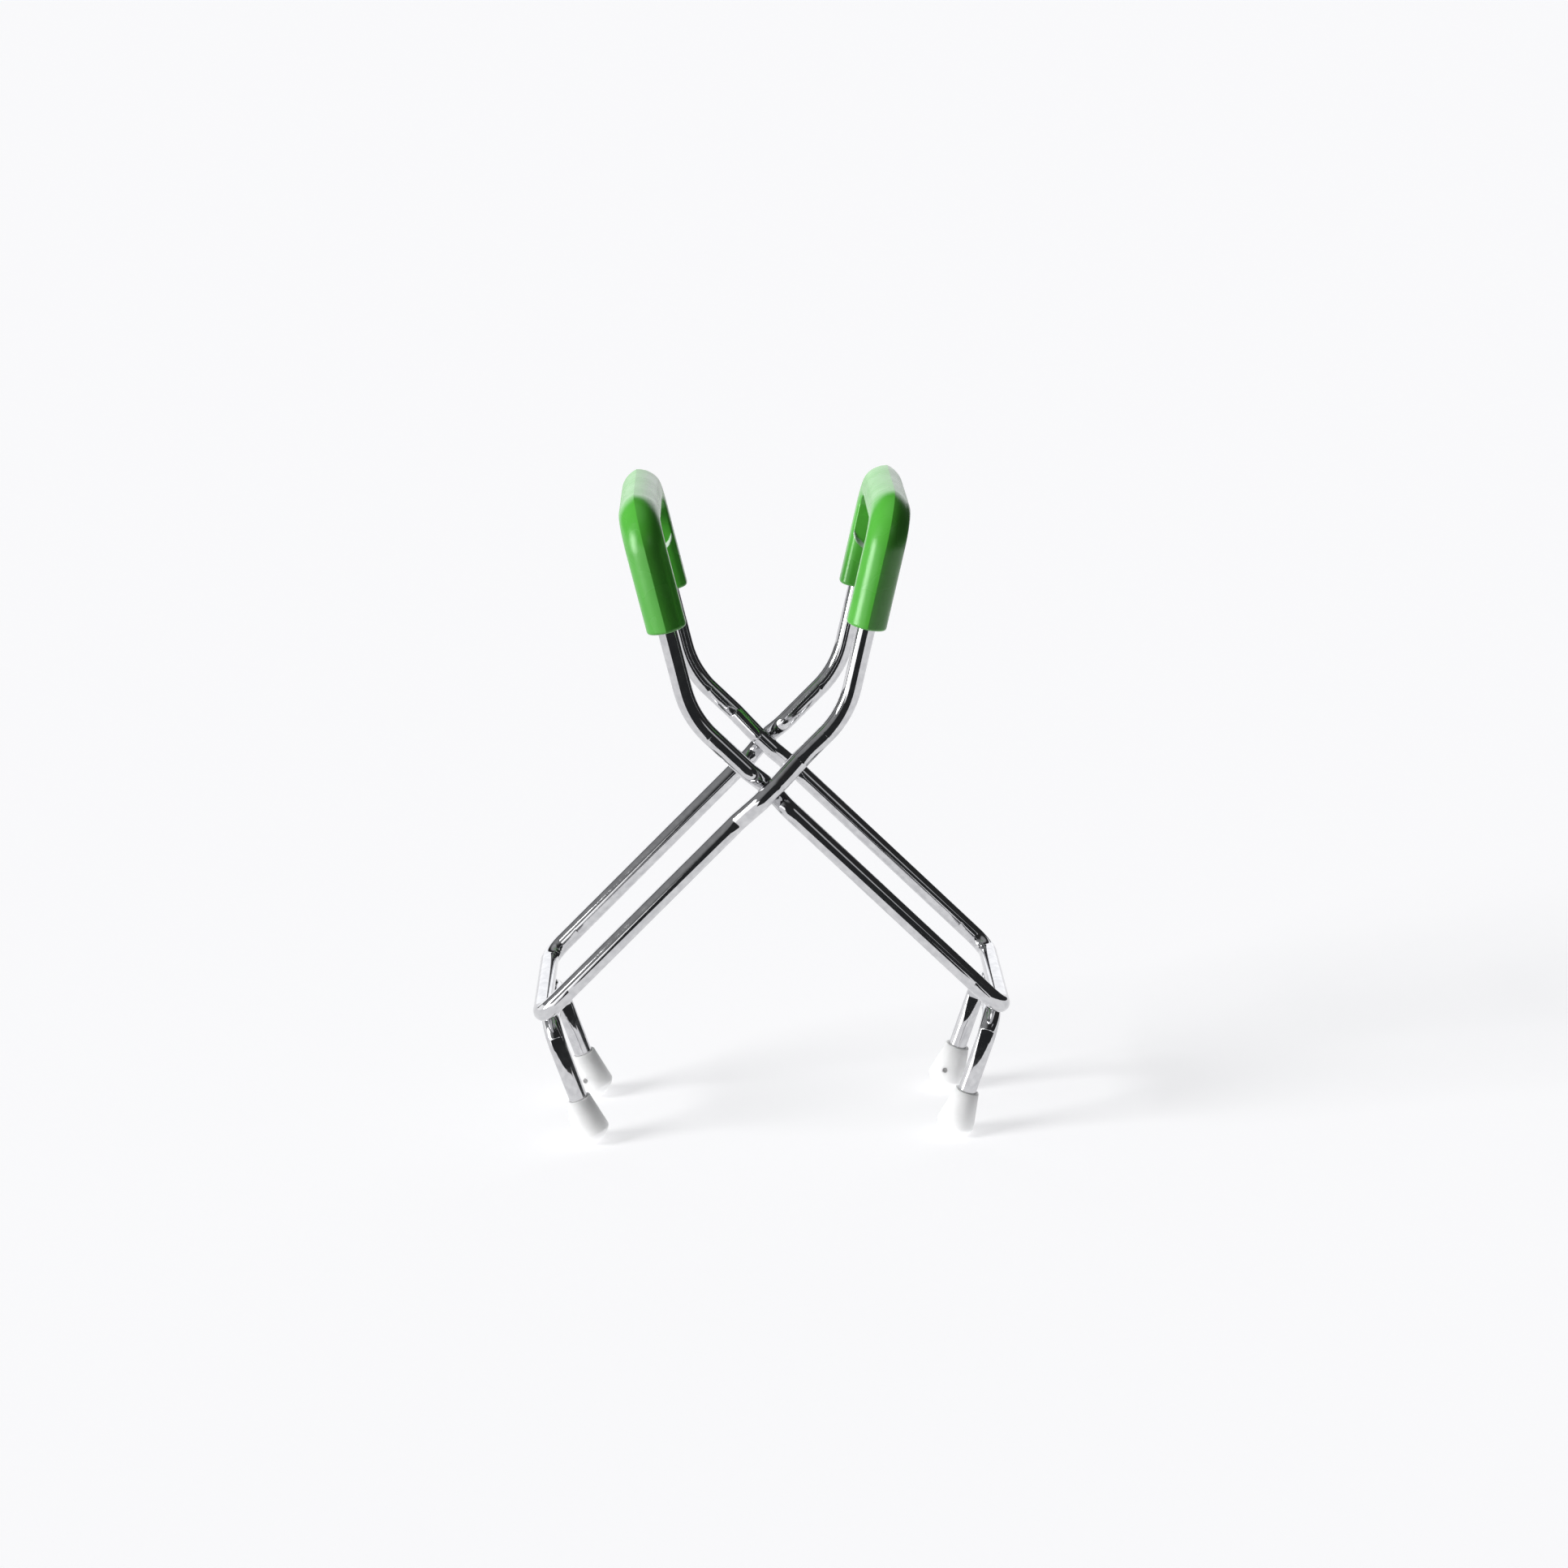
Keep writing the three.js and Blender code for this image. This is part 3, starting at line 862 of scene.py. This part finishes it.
def studio_world():
    """A dim room: bright backdrop behind, grey on the left, pale ceiling, dark in front."""
    world = bpy.data.worlds.new("studio")
    world.use_nodes = True
    bpy.context.scene.world = world
    tree = world.node_tree
    tree.nodes.clear()
    direction = add_node(tree, "ShaderNodeTexCoord").outputs["Generated"]
    height = add_node(tree, "ShaderNodeSeparateXYZ", {"Vector": direction}).outputs["Z"]
    below_top_edge = mapped(tree, height, 1, 0, 0.50, 0.60)
    backdrop = product(tree, toward(tree, direction, (0, 1, 0.2), 0.72, 0.84), below_top_edge)
    left = toward(tree, direction, (-1, -0.2, 0.45), 0.45, 0.95)
    ceiling = mapped(tree, height, 0, 1, 0.80, 0.95)
    window = toward(tree, direction, (0.67, -0.63, 0.39), 0.985, 0.993)
    light = summed(
        tree,
        product(tree, backdrop, 1.35),
        product(tree, left, 0.28),
        product(tree, ceiling, 0.3),
        product(tree, window, 0.5),
        0.03,
    )
    room = add_node(tree, "ShaderNodeBackground", {"Color": (0.97, 0.98, 1.0, 1), "Strength": light})
    pale = add_node(tree, "ShaderNodeBackground", {"Color": (0.95, 0.95, 0.965, 1), "Strength": 1.0})
    seen = add_node(tree, "ShaderNodeLightPath").outputs["Is Camera Ray"]
    both = add_node(
        tree,
        "ShaderNodeMixShader",
        {0: seen, 1: room.outputs["Background"], 2: pale.outputs["Background"]},
    )
    add_node(tree, "ShaderNodeOutputWorld", {"Surface": both.outputs["Shader"]})


def camera():
    """Slightly above the tongs and square to their side profile."""
    place = Vector((-0.01283, -0.9454, 0.3640))
    downward = 0.269155
    sideways = 0.0186849
    roll = -0.0131994
    forward = Vector((
        math.sin(sideways) * math.cos(downward),
        math.cos(sideways) * math.cos(downward),
        -math.sin(downward),
    ))
    level = forward.cross(UP).normalized()
    upright = level.cross(forward)
    right = level * math.cos(roll) + upright * math.sin(roll)
    top = upright * math.cos(roll) - level * math.sin(roll)
    lens = bpy.data.cameras.new("camera")
    lens.sensor_width = 36
    lens.lens = 76.54
    viewer = bpy.data.objects.new("camera", lens)
    turn = Matrix((right, top, -forward)).transposed().to_4x4()
    viewer.matrix_world = Matrix.Translation(place) @ turn
    bpy.context.scene.collection.objects.link(viewer)
    bpy.context.scene.camera = viewer


MATERIALS = (chrome_material(), plastic_material(), rubber_material(), weld_material())
make_frame("outer", 1, (LONG_BOW, -1), (SHORT_DENT, 1), MATERIALS)
make_frame("inner", -1, (SHORT_DENT, 1), (LONG_BOW, -1), MATERIALS)

floor_sheets()
studio_cards()
studio_world()
key_light()
camera()
bpy.context.scene.view_settings.view_transform = "Standard"
